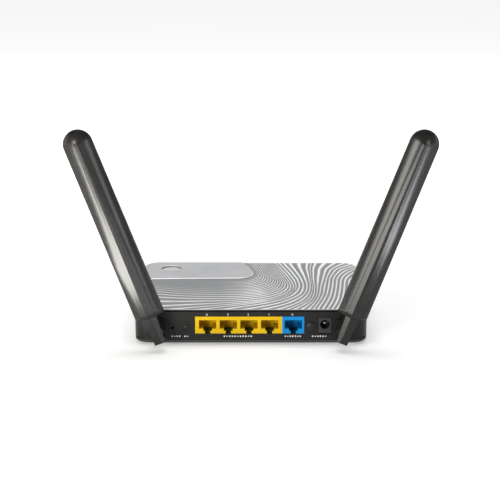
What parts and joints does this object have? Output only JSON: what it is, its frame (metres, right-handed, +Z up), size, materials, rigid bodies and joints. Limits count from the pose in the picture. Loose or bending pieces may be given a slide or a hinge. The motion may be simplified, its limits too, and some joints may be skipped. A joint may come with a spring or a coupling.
{
  "type": "wireless router",
  "caption": "Flat desktop wireless router with a ribbed silver lid, a rear row of network sockets and two folding swivel aerials.",
  "frame": {"origin": "on the surface that the feet stand on, under the middle of the whole object with its aerials at rest", "axes": "+X along the width, seen from the rear with the sockets facing the viewer it points right; +Y from the socket side to the front; +Z up"},
  "size_m": [0.2404, 0.127, 0.1495],
  "materials": {
    "silver_lid": "satin metallic paint, silver grey",
    "black_case": "fine textured black plastic",
    "base_plastic": "fine textured dark grey plastic",
    "aerial_plastic": "satin black plastic",
    "black_button": "semi-gloss black plastic",
    "silver_button": "satin silver grey plastic",
    "yellow_socket": "semi-gloss yellow plastic",
    "blue_socket": "semi-gloss blue plastic",
    "black_socket": "semi-gloss black plastic",
    "gold_contact": "gold-plated spring wire",
    "bright_pin": "nickel-plated pin",
    "steel": "zinc-plated steel",
    "rubber": "matt black rubber",
    "board": "green solder mask",
    "chip": "matt black epoxy",
    "thermal": "soft grey pad",
    "heat_sink": "plain extruded aluminium",
    "tin_can": "tin-plated sheet",
    "capacitor": "dark sleeved can",
    "indicator": "clear-capped chip lamp",
    "clear_guide": "clear moulded plastic",
    "lead_jacket": "thin black jacket"
  },
  "bodies": {
    "root": {"bottom_cover": "base_plastic", "rubber_feet": "rubber", "case_screws": "steel", "mid_frame": "black_case", "top_cover": "silver_lid", "circuit_board": "board", "board_screws": "steel", "processor": "chip", "thermal_pad": "thermal", "memory_chip": "chip", "flash_chip": "chip", "radio_chip": "chip", "lan_transformers": "chip", "inductor": "chip", "crystal": "tin_can", "indicator_leds": "indicator", "shield_can": "tin_can", "heat_sink": "heat_sink", "capacitors": "capacitor", "lan_jack_block": "yellow_socket", "wan_jack": "blue_socket", "lan_contacts": "gold_contact", "wan_contacts": "gold_contact", "power_jack": "black_socket", "power_jack_pin": "bright_pin", "power_switch": "black_socket", "fn_switch": "black_socket", "reset_switch": "black_socket", "function_switch": "black_socket", "light_guide": "clear_guide", "lead_connectors": "gold_contact", "left_inner_lead": "lead_jacket", "right_inner_lead": "lead_jacket"},
    "function_button": {"function_button": "silver_button", "function_plunger": "black_socket"},
    "power_button": {"power_button": "black_button", "power_plunger": "black_socket"},
    "fn_button": {"fn_button": "black_button", "fn_plunger": "black_socket"},
    "reset_plunger": {"reset_plunger": "black_socket"},
    "left_swivel": {"left_swivel_mount": "aerial_plastic", "left_swivel_clip": "black_socket"},
    "left_aerial": {"left_fork": "aerial_plastic", "left_hinge_pin": "steel", "left_front_shell": "aerial_plastic", "left_back_shell": "aerial_plastic", "left_radiator": "board", "left_feed_lead": "lead_jacket"},
    "right_swivel": {"right_swivel_mount": "aerial_plastic", "right_swivel_clip": "black_socket"},
    "right_aerial": {"right_fork": "aerial_plastic", "right_hinge_pin": "steel", "right_front_shell": "aerial_plastic", "right_back_shell": "aerial_plastic", "right_radiator": "board", "right_feed_lead": "lead_jacket"}
  },
  "joints": [
    {"name": "function_button_press", "type": "slide", "parent": "root", "child": "function_button", "axis": [0, 0, -1], "range_m": [0, 0.0006], "stiffness_N_per_m": 800, "springref_m": -0.0006},
    {"name": "power_button_press", "type": "slide", "parent": "root", "child": "power_button", "axis": [0, 1, 0], "range_m": [0, 0.002], "stiffness_N_per_m": 500, "springref_m": -0.001},
    {"name": "fn_button_press", "type": "slide", "parent": "root", "child": "fn_button", "axis": [0, 1, 0], "range_m": [0, 0.0005], "stiffness_N_per_m": 800, "springref_m": -0.0006},
    {"name": "reset_plunger_press", "type": "slide", "parent": "root", "child": "reset_plunger", "axis": [0, 1, 0], "range_m": [0, 0.0003], "stiffness_N_per_m": 800, "springref_m": -0.0006},
    {"name": "left_swivel_turn", "type": "hinge", "parent": "root", "child": "left_swivel", "pos_m": [-0.0626, -0.0585, 0.0129], "axis": [0, -1, 0], "range_deg": [-40.7, 69.3]},
    {"name": "left_aerial_fold", "type": "hinge", "parent": "left_swivel", "child": "left_aerial", "pos_m": [-0.0626, -0.0585, 0.0129], "axis": [0.9354, 0, 0.3535], "range_deg": [0, 90]},
    {"name": "right_swivel_turn", "type": "hinge", "parent": "root", "child": "right_swivel", "pos_m": [0.0626, -0.0585, 0.0129], "axis": [0, 1, 0], "range_deg": [-40.7, 69.3]},
    {"name": "right_aerial_fold", "type": "hinge", "parent": "right_swivel", "child": "right_aerial", "pos_m": [0.0626, -0.0585, 0.0129], "axis": [0.9354, 0, -0.3535], "range_deg": [0, 90]}
  ]
}
